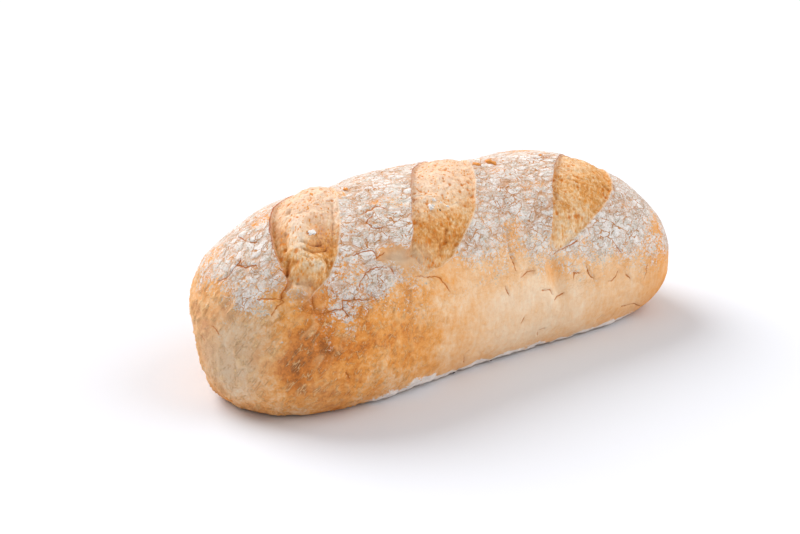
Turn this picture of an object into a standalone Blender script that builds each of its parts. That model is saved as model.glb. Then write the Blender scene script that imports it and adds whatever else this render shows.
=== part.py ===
# A floured white loaf, baked on the flat and slashed three times across its top.
# It is one uncut solid. +X runs along the loaf, and the slashes run down its front, at -Y.
import bmesh
import bpy
import numpy as np

# The body, in metres. Its two ends differ a little, as a hand-shaped loaf's do.
LENGTH = 0.300
WIDTH = 0.1314
HEIGHT = 0.0962
WIDEST_AT = 0.389          # share of the height at which the side bulges furthest
UNDERCUT = 1.376           # depth of the rounded underside, before the base cuts it flat
CROWN_POWER = 1.89         # 2 is an ellipse, and more is a squarer shoulder
UNDERSIDE_POWER = 3.15
NEAR_END = {"plan": 4.61, "side": 4.04}    # powers of the rounding at the -X end
FAR_END = {"plan": 5.89, "side": 3.70}     # and at the +X end
FAR_WIDER = 0.050          # how much wider than the middle the +X end is
FAR_LOWER = 0.058          # how much lower than the middle the +X end is
BOW = 0.0097               # how far both ends curve towards the front

# The slashes: where each starts low on the front and ends just past the crest, then the
# width, skew and fullness of its two edges, how deep its left side lies, how far its
# crumb swells up again, and how far the crust at its left edge curls up.
SLASHES = (
    {"front": (-0.1200, -0.0530), "back": (-0.0440, 0.0280),
     "left": (0.0230, 1.0, 0.48), "right": (0.0120, 0.75, 0.90),
     "depth": 0.0060, "swell": 0.0048, "curl": 0.0010},
    {"front": (-0.0580, -0.0610), "back": (0.0480, 0.0320),
     "left": (0.0175, 1.8, 0.45), "right": (0.0225, 1.1, 0.60),
     "depth": 0.0045, "swell": 0.0020, "curl": 0.0012},
    {"front": (0.0340, -0.0660), "back": (0.1340, 0.0060),
     "left": (0.0145, 1.5, 0.60), "right": (0.0190, 1.2, 1.00),
     "depth": 0.0042, "swell": 0.0018, "curl": 0.0012},
)
LEFT_STEP = 0.0022         # width over which the crust drops at a slash's left edge
RIGHT_STEP = 0.0030        # and the gentler step at its right edge
RIGHT_DROP = 0.0014
CURL_REACH = 0.0070
SLASH_FROM = 0.030         # height above the base from which the slashes cut in,
SLASH_FULL = 0.052         # and the height above which they are at full depth

# Broad swellings and hollows of the crust: middle (x, y, z), reach and height
SWELLINGS = (
    {"at": (-0.106, 0.031, 0.080), "reach": 0.018, "height": -0.0023},    # near shoulder
    {"at": (-0.056, 0.026, 0.093), "reach": 0.022, "height": -0.0046},    # past the first slash
    {"at": (0.048, 0.028, 0.089), "reach": 0.023, "height": -0.0052},     # past the second
    {"at": (0.118, -0.006, 0.078), "reach": 0.014, "height": -0.0014},    # past the third
    {"at": (-0.144, 0.028, 0.018), "reach": 0.022, "height": -0.0054},    # tucked-in near end
    {"at": (0.131, -0.055, 0.024), "reach": 0.022, "height": 0.0016},     # full far corner
    {"at": (-0.020, -0.056, 0.004), "reach": 0.034, "height": -0.0016},   # hollow of the base
    {"at": (-0.079, -0.053, 0.069), "reach": 0.008, "height": 0.0014},    # lump below a crack
    {"at": (0.036, -0.064, 0.044), "reach": 0.012, "height": -0.0014},    # fold under a slash
    {"at": (0.016, -0.062, 0.050), "reach": 0.004, "height": -0.0016},    # pit in the side
)

# The main cracks of the crust, each along a few points of the surface
CRACKS = (
    ((-0.123, -0.033, 0.076), (-0.122, -0.037, 0.072), (-0.129, -0.039, 0.066),
     (-0.136, -0.031, 0.064)),
    ((-0.129, -0.039, 0.065), (-0.131, -0.039, 0.062), (-0.134, -0.039, 0.058)),
    ((-0.120, -0.050, 0.058), (-0.112, -0.054, 0.058), (-0.104, -0.056, 0.059),
     (-0.095, -0.056, 0.061), (-0.090, -0.057, 0.060)),
    ((-0.087, -0.044, 0.079), (-0.081, -0.044, 0.080), (-0.075, -0.048, 0.076),
     (-0.071, -0.047, 0.077)),
    ((-0.091, -0.054, 0.066), (-0.086, -0.051, 0.071), (-0.076, -0.051, 0.072),
     (-0.070, -0.054, 0.069)),
    ((-0.141, -0.006, 0.068), (-0.133, -0.011, 0.076), (-0.129, -0.021, 0.077)),
    ((-0.057, -0.058, 0.065), (-0.051, -0.057, 0.063), (-0.043, -0.058, 0.061),
     (-0.039, -0.061, 0.054)),
    ((0.082, -0.062, 0.008), (0.087, -0.065, 0.014), (0.098, -0.064, 0.013),
     (0.108, -0.060, 0.008)),
)
CRACK_DEPTH = 0.0014
CRACK_REACH = 0.0016

CELLS = (160, 84, 56)      # quads along the length, width and height before thinning
KEPT_SHARE = 0.10          # share of the faces that thinning keeps
CRUST_COLOUR = (0.62, 0.36, 0.16, 1.0)
CRUST_ROUGHNESS = 0.75


def clear_scene():
    for scene_object in list(bpy.data.objects):
        bpy.data.objects.remove(scene_object, do_unlink=True)


def cube_of_cells(cells):
    """A cube from -1 to 1 whose sides are cut into an even grid."""
    bm = bmesh.new()
    bmesh.ops.create_cube(bm, size=2.0)
    for axis, count in enumerate(cells):
        uncut = [e for e in bm.edges if abs(e.verts[0].co[axis] - e.verts[1].co[axis]) > 1.9]
        bmesh.ops.subdivide_edges(bm, edges=uncut, cuts=count - 1, use_grid_fill=True)
    return bm


def round_section(across, up):
    """Turns the cube's square section into a circle: the share of its radius at each point,
    and the sine and cosine of the angle up from the side."""
    radius = np.maximum(np.abs(across), np.abs(up))
    share = np.minimum(np.abs(across), np.abs(up)) / np.maximum(radius, 1e-9)
    eighths = np.where(np.abs(across) >= np.abs(up), share, 2.0 - share)
    angle = eighths * np.pi / 4
    return radius, np.sin(angle) * np.sign(up), np.cos(angle) * np.sign(across)


def end_samples(end):
    """Samples of the outline from the loaf's middle to one end: the share of the outline's
    run, then the shares of the half length, the width and the height there."""
    turn = np.linspace(0.0, np.pi / 2, 4001)
    along = np.sin(turn) ** (4.0 / (end["plan"] + end["side"]))
    wide = np.sqrt(np.maximum(0.0, 1.0 - along ** end["plan"]))
    high = np.sqrt(np.maximum(0.0, 1.0 - along ** end["side"]))
    steps = np.hypot(np.diff(along) * LENGTH / 2, np.diff(wide) * WIDTH / 2)
    run = np.concatenate(([0.0], np.cumsum(steps)))
    return run / run[-1], along, wide, high


def body_points(cube):
    """Moves the points of the cube onto the risen loaf."""
    radius, sine, cosine = round_section(cube[:, 1], cube[:, 2])
    end_share = CELLS[1] / (CELLS[0] + CELLS[1])
    on_end = np.abs(cube[:, 0]) > 1.0 - 1e-6
    run = np.where(on_end, 1.0 - end_share * radius, (1.0 - end_share) * np.abs(cube[:, 0]))
    along, wide, high = np.zeros((3, len(cube)))
    for here, end in ((cube[:, 0] < 0, NEAR_END), (cube[:, 0] >= 0, FAR_END)):
        sampled_run, *samples = end_samples(end)
        for values, sample in zip((along, wide, high), samples):
            values[here] = np.interp(run[here], sampled_run, sample)
    along *= np.sign(cube[:, 0])

    height = HEIGHT * (1.0 - FAR_LOWER * along)
    widest = WIDEST_AT * height
    reach = np.abs(sine)
    power = np.where(sine >= 0, CROWN_POWER, UNDERSIDE_POWER)
    aside = np.sqrt(np.maximum(0.0, 1.0 - reach ** power)) * np.sign(cosine)
    half_width = WIDTH / 2 * (1.0 + FAR_WIDER * along)
    above = widest + (height - widest) * high ** (2 / CROWN_POWER) * reach
    below = widest - UNDERCUT * widest * wide ** (2 / UNDERSIDE_POWER) * reach
    return np.column_stack((LENGTH / 2 * along,
                            half_width * wide * aside - BOW * along ** 2,
                            np.where(sine >= 0, above, below)))


def smooth_step(value, start, stop):
    share = np.clip((value - start) / (stop - start), 0.0, 1.0)
    return share * share * (3.0 - 2.0 * share)


def edge_offset(edge, share):
    width, skew, fullness = edge
    return width * np.sin(np.pi * share ** skew) ** fullness


def slash_relief(slash, x, y):
    """Height of one slash above the body: the crust curls up at its left edge, drops to the
    crumb, and the crumb swells up again towards its right edge."""
    start = np.array(slash["front"])
    way = np.array(slash["back"]) - start
    length = np.linalg.norm(way)
    way /= length
    share = np.clip(((x - start[0]) * way[0] + (y - start[1]) * way[1]) / length, 0.0, 1.0)
    rightwards = (x - start[0]) * way[1] - (y - start[1]) * way[0]
    left = rightwards + edge_offset(slash["left"], share)
    right = edge_offset(slash["right"], share) - rightwards
    strength = np.sin(np.pi * share) ** 0.5
    across = np.clip(left / np.maximum(left + right, 1e-6), 0.0, 1.0)
    crumb = slash["swell"] * np.sin(np.pi * across) - slash["depth"] * (1.0 - across) ** 1.5
    crumb -= RIGHT_DROP * across
    inside = smooth_step(left, 0.0, LEFT_STEP) * smooth_step(right, 0.0, RIGHT_STEP)
    curl = slash["curl"] * np.exp(-(left / CURL_REACH) ** 2) * (left < LEFT_STEP)
    return strength * (inside * crumb + (1.0 - inside) * curl)


def distance_to_line(points, line):
    """Distance of each point to a line through a few corners."""
    nearest = np.full(len(points), np.inf)
    for start, stop in zip(np.array(line[:-1]), np.array(line[1:])):
        way = stop - start
        share = np.clip((points - start) @ way / (way @ way), 0.0, 1.0)
        nearest = np.minimum(nearest, np.linalg.norm(points - start - share[:, None] * way, axis=1))
    return nearest


def crust_relief(points):
    x, y, z = points.T
    relief = np.zeros_like(x)
    for swelling in SWELLINGS:
        distance = np.linalg.norm(points - np.array(swelling["at"]), axis=1)
        relief += swelling["height"] * np.exp(-(distance / swelling["reach"]) ** 2)
    upper = smooth_step(z, SLASH_FROM, SLASH_FULL)
    for slash in SLASHES:
        relief += slash_relief(slash, x, y) * upper
    for crack in CRACKS:
        relief -= CRACK_DEPTH * np.exp(-(distance_to_line(points, crack) / CRACK_REACH) ** 2)
    return relief


def move_to(bm, points):
    for vert, point in zip(bm.verts, points):
        vert.co = point
    bm.normal_update()


def shape_loaf(bm):
    """Moves the cube's points to the loaf and lifts them by the relief of its crust."""
    points = body_points(np.array([vert.co for vert in bm.verts]))
    move_to(bm, points)
    normals = np.array([vert.normal for vert in bm.verts])
    move_to(bm, points + normals * crust_relief(points)[:, None])
    bmesh.ops.smooth_vert(bm, verts=bm.verts, factor=0.5,
                          use_axis_x=True, use_axis_y=True, use_axis_z=True)


def thinned(bm):
    """A mesh with fewer faces, kept where the crust bends most."""
    fine = bpy.data.meshes.new("fine loaf")
    bm.to_mesh(fine)
    carrier = bpy.data.objects.new("fine loaf", fine)
    bpy.context.scene.collection.objects.link(carrier)
    carrier.modifiers.new("Thin", "DECIMATE").ratio = KEPT_SHARE
    evaluated = carrier.evaluated_get(bpy.context.evaluated_depsgraph_get())
    mesh = bpy.data.meshes.new_from_object(evaluated)
    bpy.data.objects.remove(carrier, do_unlink=True)
    bpy.data.meshes.remove(fine)
    return mesh


def cut_base(mesh):
    """Cuts the rounded underside flat where the loaf lay, and stands the middle of the loaf
    over the origin."""
    bm = bmesh.new()
    bm.from_mesh(mesh)
    everything = bm.verts[:] + bm.edges[:] + bm.faces[:]
    bmesh.ops.bisect_plane(bm, geom=everything, plane_co=(0, 0, 0), plane_no=(0, 0, 1),
                           clear_inner=True)
    rim = [edge for edge in bm.edges if edge.is_boundary]
    bmesh.ops.contextual_create(bm, geom=rim)
    bmesh.ops.remove_doubles(bm, verts=bm.verts, dist=0.0001)
    bmesh.ops.recalc_face_normals(bm, faces=bm.faces)
    corners = np.array([vert.co for vert in bm.verts])
    middle = (corners.min(axis=0) + corners.max(axis=0)) / 2
    bmesh.ops.translate(bm, verts=bm.verts, vec=(-middle[0], -middle[1], 0.0))
    bm.to_mesh(mesh)
    bm.free()


def crust_material():
    material = bpy.data.materials.new("crust")
    material.use_nodes = True
    shader = material.node_tree.nodes["Principled BSDF"]
    shader.inputs["Base Color"].default_value = CRUST_COLOUR
    shader.inputs["Roughness"].default_value = CRUST_ROUGHNESS
    shader.inputs["Metallic"].default_value = 0.0
    return material


def build_loaf(collection):
    bm = cube_of_cells(CELLS)
    shape_loaf(bm)
    mesh = thinned(bm)
    bm.free()
    cut_base(mesh)
    mesh.name = "loaf"
    mesh.shade_smooth()
    mesh.materials.append(crust_material())
    collection.objects.link(bpy.data.objects.new("loaf", mesh))


clear_scene()
loaf_collection = bpy.data.collections.new("white loaf")
bpy.context.scene.collection.children.link(loaf_collection)
build_loaf(loaf_collection)
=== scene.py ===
# A floured white loaf, slashed three times and baked on the flat, on a pale studio floor.
from functools import partial

import bmesh
import bpy
import numpy as np
from mathutils import Matrix, Vector, noise


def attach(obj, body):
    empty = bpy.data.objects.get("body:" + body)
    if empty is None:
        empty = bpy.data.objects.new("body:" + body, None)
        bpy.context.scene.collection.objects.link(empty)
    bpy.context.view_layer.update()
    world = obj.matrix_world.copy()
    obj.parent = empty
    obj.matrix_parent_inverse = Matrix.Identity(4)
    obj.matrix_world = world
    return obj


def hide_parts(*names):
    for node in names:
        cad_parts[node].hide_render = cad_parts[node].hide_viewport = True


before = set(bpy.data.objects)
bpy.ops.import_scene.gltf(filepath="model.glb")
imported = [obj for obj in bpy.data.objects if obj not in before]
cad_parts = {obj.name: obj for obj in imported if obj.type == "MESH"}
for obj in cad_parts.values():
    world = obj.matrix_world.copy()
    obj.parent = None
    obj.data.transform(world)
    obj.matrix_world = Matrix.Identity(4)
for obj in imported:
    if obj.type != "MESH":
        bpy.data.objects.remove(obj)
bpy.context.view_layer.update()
print("frame loaded with nodes", list(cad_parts))


def linearColour(sheet):
    # "#rrggbb" as sRGB to the linear colour that a shader socket takes
    parts = [int(sheet[i:i + 2], 16) / 255 for i in (1, 3, 5)]
    return [p / 12.92 if p <= 0.04045 else ((p + 0.055) / 1.055) ** 2.4 for p in parts] + [1.0]


def addNode(tree, kind, inputs=None, output=0, stops=None, **settings):
    # one node with its settings, its values or links by socket and a ramp's stops: its output
    node = tree.nodes.new("ShaderNode" + kind)
    for name, value in settings.items():
        setattr(node, name, value)
    for socket, value in (inputs or {}).items():
        if isinstance(value, bpy.types.NodeSocket):
            tree.links.new(value, node.inputs[socket])
        else:
            hexColour = isinstance(value, str)
            node.inputs[socket].default_value = linearColour(value) if hexColour else value
    if stops:
        ramp = node.color_ramp.elements
        while len(ramp) < len(stops):
            ramp.new(0.5)
        for element, (position, colour) in zip(ramp, stops):
            element.position = position
            element.color = linearColour(colour)
    return node.outputs[output] if node.outputs else node


def plainMaterial(name, colour, roughness, shine=0.5):
    material = bpy.data.materials.new(name)
    material.use_nodes = True
    shader = material.node_tree.nodes["Principled BSDF"]
    shader.inputs["Base Color"].default_value = linearColour(colour)
    shader.inputs["Roughness"].default_value = roughness
    shader.inputs["Specular IOR Level"].default_value = shine
    return material


def newObject(name, data):
    made = bpy.data.objects.new(name, data)
    bpy.context.scene.collection.objects.link(made)
    return made


# The loaf: a hand-shaped body, in metres
loaf = {
    "length": 0.300,
    "width": 0.1314,
    "height": 0.0962,
    "widestAt": 0.389,          # share of the height at which the side bulges furthest
    "undercut": 1.376,          # depth of the rounded underside, before the base flattens it
    "crownPower": 1.89,         # 2 is an ellipse, more is a squarer shoulder
    "undersidePower": 3.15,
    "nearEnd": (4.61, 4.04),    # powers of the rounding at the -X end, in plan and from the side
    "farEnd": (5.89, 3.70),
    "farWider": 0.050,
    "farLower": 0.058,
    "bow": 0.0097,              # how far both ends curve towards the front
    "cells": (320, 168, 112),   # quads along the length, width and height before thinning
    "mostTriangles": 196000,
    "baseRound": 0.0016,        # how softly the flat base turns up into the side
    "standsAt": (0.0001, 0.0016, 0.0),      # how far the finished loaf is moved to its middle
    "flourFoot": [(-0.150, 0.062), (-0.142, 0.066), (-0.128, 0.070), (-0.105, 0.065),
                  (-0.084, 0.069), (-0.059, 0.070), (-0.038, 0.068), (-0.015, 0.065),
                  (0.015, 0.064), (0.034, 0.060), (0.054, 0.053), (0.081, 0.046),
                  (0.111, 0.042), (0.150, 0.044)],      # where the flour ends: x and height
    "flourFade": (-0.033, 0.021),       # from below to above that line
}

# Each slash is open between its left and right edge, both given from the low end to the
# hidden one. The crumb lies deep at the left edge and swells up again towards the right,
# floor says how deep along the slash, and the crust curls up beside it.
slashes = [
    {"left": [(-0.1285, -0.0390, 0.0666), (-0.1245, -0.0391, 0.0700), (-0.1224, -0.0372, 0.0730),
              (-0.1217, -0.0291, 0.0792), (-0.1196, -0.0214, 0.0837), (-0.1143, -0.0119, 0.0884),
              (-0.1070, -0.0027, 0.0917), (-0.0990, 0.0048, 0.0934), (-0.0880, 0.0110, 0.0940),
              (-0.0740, 0.0200, 0.0919), (-0.0580, 0.0270, 0.0875), (-0.0440, 0.0296, 0.0877)],
     "right": [(-0.1174, -0.0478, 0.0652), (-0.1120, -0.0476, 0.0687), (-0.1045, -0.0465, 0.0733),
               (-0.0975, -0.0431, 0.0786), (-0.0914, -0.0380, 0.0839), (-0.0855, -0.0314, 0.0888),
               (-0.0791, -0.0231, 0.0931), (-0.0742, -0.0160, 0.0956), (-0.0668, -0.0057, 0.0973),
               (-0.0600, 0.0050, 0.0964), (-0.0520, 0.0170, 0.0923), (-0.0440, 0.0296, 0.0877)],
     "floor": [(0.0, 0.0012), (0.12, 0.0036), (0.28, 0.0038), (0.42, 0.0022), (0.60, 0.0008),
               (1.0, 0.0006)],
     "swell": 0.0032, "curl": 0.0010, "lip": [(0.0, 0.3), (0.15, 0.6), (0.40, 1.0), (1.0, 1.0)]},
    {"left": [(-0.0619, -0.0542, 0.0692), (-0.0622, -0.0520, 0.0723), (-0.0561, -0.0486, 0.0763),
              (-0.0529, -0.0473, 0.0777), (-0.0488, -0.0435, 0.0813), (-0.0435, -0.0368, 0.0864),
              (-0.0343, -0.0255, 0.0923), (-0.0258, -0.0158, 0.0953), (-0.0182, -0.0077, 0.0966),
              (-0.0090, 0.0020, 0.0969), (0.0050, 0.0130, 0.0954), (0.0250, 0.0260, 0.0893),
              (0.0480, 0.0336, 0.0813)],
     "right": [(-0.0507, -0.0567, 0.0649), (-0.0405, -0.0562, 0.0655), (-0.0326, -0.0550, 0.0673),
               (-0.0255, -0.0526, 0.0706), (-0.0169, -0.0484, 0.0755), (-0.0076, -0.0435, 0.0800),
               (-0.0003, -0.0387, 0.0837), (0.0070, -0.0310, 0.0883), (0.0156, -0.0217, 0.0921),
               (0.0220, -0.0129, 0.0943), (0.0300, 0.0000, 0.0949), (0.0400, 0.0180, 0.0891),
               (0.0480, 0.0336, 0.0813)],
     "floor": [(0.0, 0.0006), (0.15, 0.0024), (0.35, 0.0024), (0.55, 0.0010), (1.0, 0.0007)],
     "swell": 0.0016, "curl": 0.0011,
     "lip": [(0.0, 0.0), (0.14, 0.7), (0.30, 0.5), (0.45, 0.75), (1.0, 1.0)]},
    {"left": [(0.0343, -0.0611, 0.0557), (0.0342, -0.0595, 0.0598), (0.0374, -0.0567, 0.0650),
              (0.0430, -0.0519, 0.0715), (0.0499, -0.0448, 0.0784), (0.0577, -0.0366, 0.0838),
              (0.0704, -0.0250, 0.0878), (0.0800, -0.0175, 0.0886), (0.0900, -0.0100, 0.0880),
              (0.1050, -0.0010, 0.0850), (0.1200, 0.0060, 0.0759), (0.1341, 0.0076, 0.0660)],
     "right": [(0.0364, -0.0612, 0.0558), (0.0458, -0.0606, 0.0586), (0.0558, -0.0595, 0.0616),
               (0.0670, -0.0572, 0.0654), (0.0801, -0.0532, 0.0696), (0.0914, -0.0481, 0.0728),
               (0.0991, -0.0432, 0.0747), (0.1061, -0.0360, 0.0766), (0.1130, -0.0250, 0.0780),
               (0.1230, -0.0100, 0.0745), (0.1341, 0.0076, 0.0660)],
     "floor": [(0.0, 0.0008), (0.20, 0.0026), (0.40, 0.0026), (0.60, 0.0011), (1.0, 0.0008)],
     "swell": 0.0014, "curl": 0.0011, "lip": [(0.0, 0.0), (0.40, 0.2), (0.60, 0.8), (1.0, 1.0)]},
]
slashEdges = {
    "leftStep": 0.0011, "rightStep": 0.0015, "rightDrop": 0.0015, "curlReach": 0.0070,
    "fadeIn": 0.055, "fadeOut": 0.12,       # shares of its length over which each slash opens
    "from": 0.036, "full": 0.052,           # heights between which the slashes fade in
    "ragged": 0.0006, "raggedSize": 0.007,
    "flatBack": 0.8,                        # how much of its curl each lip loses past the crest
    "lipHeight": 0.0004, "lipReach": 0.0010,
    "rimHeight": 0.0005, "rimReach": 0.0008,
}

# Broad swellings and hollows: middle, reach and height
swellings = [
    ((-0.106, 0.031, 0.080), 0.018, -0.0023),     # near shoulder
    ((-0.056, 0.026, 0.093), 0.022, -0.0046),     # past the first slash
    ((0.048, 0.028, 0.089), 0.023, -0.0052),      # past the second
    ((0.118, -0.006, 0.078), 0.014, -0.0014),     # past the third
    ((-0.144, 0.028, 0.018), 0.022, -0.0054),     # tucked-in near end
    ((0.131, -0.055, 0.024), 0.022, 0.0016),      # full far corner
    ((-0.020, -0.056, 0.004), 0.034, -0.0016),    # hollow of the base
    ((-0.079, -0.053, 0.069), 0.008, 0.0014),     # lump below a crack
    ((0.036, -0.064, 0.044), 0.012, -0.0014),     # fold under a slash
    ((0.016, -0.062, 0.050), 0.004, -0.0016),     # pit in the side
]

# Forms in the torn crumb: a line of points, reach and height. The crumb is painted paler where they rise
# and darker where they sink, as painted light and shade.
crumbForms = [
    ([(-0.101, -0.016, 0.092), (-0.107, -0.025, 0.088), (-0.111, -0.032, 0.083),
      (-0.112, -0.038, 0.079)], 0.0042, 0.0020),     # pale lump in the first slash
    ([(-0.109, -0.018, 0.087), (-0.114, -0.025, 0.082)], 0.0008, -0.0016),
    ([(-0.117, -0.030, 0.078), (-0.121, -0.034, 0.075)], 0.0011, -0.0022),     # gully beside it
    ([(-0.099, -0.007, 0.092), (-0.097, -0.006, 0.093)], 0.0012, -0.0014),     # pit at its head
    ([(-0.096, -0.012, 0.094), (-0.093, -0.014, 0.096), (-0.092, -0.018, 0.095)],
     0.0008, -0.0010),     # crease over the lump
    ([(-0.094, -0.025, 0.091), (-0.101, -0.033, 0.085)], 0.0050, -0.0016),     # torn hollow
    ([(-0.107, -0.042, 0.078)], 0.0040, 0.0020),     # blister low in the slash
    ([(-0.102, -0.0405, 0.0795), (-0.1025, -0.043, 0.077), (-0.105, -0.045, 0.0755)],
     0.0008, -0.0018),     # fold round it
    ([(-0.108, -0.047, 0.074), (-0.114, -0.045, 0.074)], 0.0012, 0.0012),     # rim below it
    ([(-0.076, -0.013, 0.097), (-0.084, -0.024, 0.092), (-0.091, -0.032, 0.086),
      (-0.098, -0.040, 0.080)], 0.0006, -0.0010),     # layers torn along its right
    ([(-0.072, -0.011, 0.097), (-0.080, -0.022, 0.093), (-0.087, -0.031, 0.088)],
     0.0006, 0.0006),
    ([(-0.1077, -0.0278, 0.0860), (-0.1051, -0.0316, 0.0849), (-0.0993, -0.0337, 0.0852)],
     0.0005, -0.0013),
    ([(-0.1096, -0.0311, 0.0837), (-0.1063, -0.0355, 0.0821), (-0.0990, -0.0372, 0.0830)],
     0.0005, -0.0013),
    ([(-0.1113, -0.0341, 0.0813), (-0.1095, -0.0373, 0.0797)], 0.0005, -0.0010),
    ([(-0.1015, -0.0097, 0.0929), (-0.0992, -0.0098, 0.0935)], 0.0014, 0.0010),
    ([(-0.120, -0.041, 0.071), (-0.114, -0.045, 0.070)], 0.0011, -0.0012),     # low folds
    ([(-0.124, -0.041, 0.068), (-0.118, -0.046, 0.067)], 0.0013, 0.0010),
    ([(-0.026, -0.044, 0.079), (-0.029, -0.047, 0.076)], 0.0008, -0.0014),     # second slash
    ([(-0.030, -0.048, 0.075), (-0.035, -0.050, 0.073), (-0.037, -0.052, 0.070)], 0.0010, -0.0014),
    ([(-0.055, -0.050, 0.073), (-0.052, -0.053, 0.069)], 0.0009, -0.0009),
    ([(-0.049, -0.047, 0.075), (-0.047, -0.053, 0.069)], 0.0008, -0.0008),
    ([(-0.052, -0.046, 0.077), (-0.049, -0.044, 0.079)], 0.0010, -0.0009),
    ([(-0.044, -0.050, 0.072), (-0.043, -0.054, 0.068)], 0.0012, 0.0008),
    ([(0.075, -0.036, 0.082)], 0.0024, 0.0010),     # third slash
    ([(0.075, -0.033, 0.083), (0.078, -0.036, 0.081)], 0.0009, -0.0016),
    ([(0.090, -0.040, 0.077)], 0.0010, -0.0014),
    ([(0.097, -0.042, 0.075), (0.096, -0.039, 0.077)], 0.0010, -0.0014),
    ([(0.058, -0.040, 0.081), (0.056, -0.043, 0.079)], 0.0008, -0.0013),
]

# The main cracks of the crust, each along a few points of the surface
cracks = [
    [(-0.123, -0.033, 0.076), (-0.122, -0.037, 0.072), (-0.128, -0.039, 0.067),
     (-0.129, -0.039, 0.065), (-0.133, -0.035, 0.065), (-0.136, -0.031, 0.064)],
    [(-0.129, -0.039, 0.065), (-0.128, -0.041, 0.064), (-0.131, -0.039, 0.062),
     (-0.134, -0.039, 0.058)],
    [(-0.117, -0.048, 0.066), (-0.117, -0.051, 0.059)],
    [(-0.120, -0.050, 0.058), (-0.113, -0.053, 0.058)],
    [(-0.112, -0.054, 0.058), (-0.104, -0.056, 0.059), (-0.102, -0.057, 0.055)],
    [(-0.104, -0.056, 0.059), (-0.103, -0.054, 0.062), (-0.095, -0.056, 0.061),
     (-0.090, -0.057, 0.060)],
    [(-0.051, -0.027, 0.091), (-0.057, -0.024, 0.093), (-0.066, -0.026, 0.092),
     (-0.070, -0.027, 0.091)],
    [(-0.062, -0.028, 0.091), (-0.069, -0.032, 0.089), (-0.068, -0.035, 0.087),
     (-0.062, -0.037, 0.086)],
    [(-0.087, -0.044, 0.079), (-0.081, -0.044, 0.080), (-0.076, -0.045, 0.079),
     (-0.075, -0.048, 0.076), (-0.071, -0.047, 0.077)],
    [(-0.091, -0.054, 0.066), (-0.090, -0.052, 0.068), (-0.086, -0.051, 0.071),
     (-0.082, -0.050, 0.072), (-0.076, -0.051, 0.072), (-0.071, -0.052, 0.071),
     (-0.070, -0.054, 0.069)],
    [(-0.141, -0.006, 0.068), (-0.137, -0.010, 0.072), (-0.133, -0.011, 0.076),
     (-0.132, -0.010, 0.078)],
    [(-0.134, -0.012, 0.076), (-0.132, -0.017, 0.076), (-0.129, -0.021, 0.077)],
    [(-0.148, 0.005, 0.045), (-0.149, 0.001, 0.041), (-0.150, -0.003, 0.038)],
    [(-0.149, -0.010, 0.047), (-0.149, -0.015, 0.045)],
    [(-0.122, 0.003, 0.084), (-0.123, -0.003, 0.084), (-0.122, -0.011, 0.085)],
    [(-0.057, -0.058, 0.065), (-0.051, -0.057, 0.063), (-0.043, -0.058, 0.061),
     (-0.039, -0.061, 0.054)],
    [(0.068, -0.010, 0.091), (0.076, -0.012, 0.091), (0.088, -0.009, 0.086)],
    [(0.082, -0.062, 0.008), (0.087, -0.065, 0.014), (0.098, -0.064, 0.013),
     (0.108, -0.060, 0.008)],
    [(0.102, -0.068, 0.028), (0.104, -0.068, 0.031), (0.104, -0.068, 0.035)],
    [(0.073, -0.068, 0.033), (0.076, -0.068, 0.033), (0.079, -0.068, 0.035), (0.080, -0.068, 0.037)],
    [(0.087, -0.068, 0.034), (0.090, -0.068, 0.031)],
    [(0.057, -0.066, 0.045), (0.058, -0.067, 0.041), (0.061, -0.067, 0.038)],
    [(0.047, -0.066, 0.041), (0.048, -0.066, 0.043), (0.051, -0.066, 0.043)],
    [(0.007, -0.059, 0.061), (0.008, -0.060, 0.057), (0.008, -0.061, 0.054)],
    [(0.012, -0.063, 0.049), (0.016, -0.063, 0.050), (0.020, -0.064, 0.051)],
    [(0.081, -0.065, 0.051), (0.083, -0.066, 0.048)],
    [(0.070, -0.063, 0.010), (0.072, -0.064, 0.012)],
    [(0.025, -0.065, 0.039), (0.030, -0.065, 0.038), (0.033, -0.065, 0.035)],
    [(0.035, -0.065, 0.031), (0.040, -0.065, 0.033)],
    [(0.011, -0.064, 0.023), (0.012, -0.064, 0.026)],
    [(0.026, -0.062, 0.012), (0.025, -0.063, 0.015), (0.029, -0.063, 0.015)],
    [(-0.001, -0.063, 0.046), (0.000, -0.064, 0.043)],
    [(0.037, -0.061, 0.056), (0.041, -0.061, 0.057), (0.048, -0.061, 0.058), (0.054, -0.061, 0.059)],
    [(-0.024, -0.057, 0.008), (-0.026, -0.060, 0.014), (-0.024, -0.061, 0.016)],
    [(-0.104, -0.060, 0.023), (-0.105, -0.060, 0.027)],
]
crackForm = {"depth": 0.0009, "reach": 0.0007, "lift": 0.0004, "liftAt": 0.0013, "liftReach": 0.0012}

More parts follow.
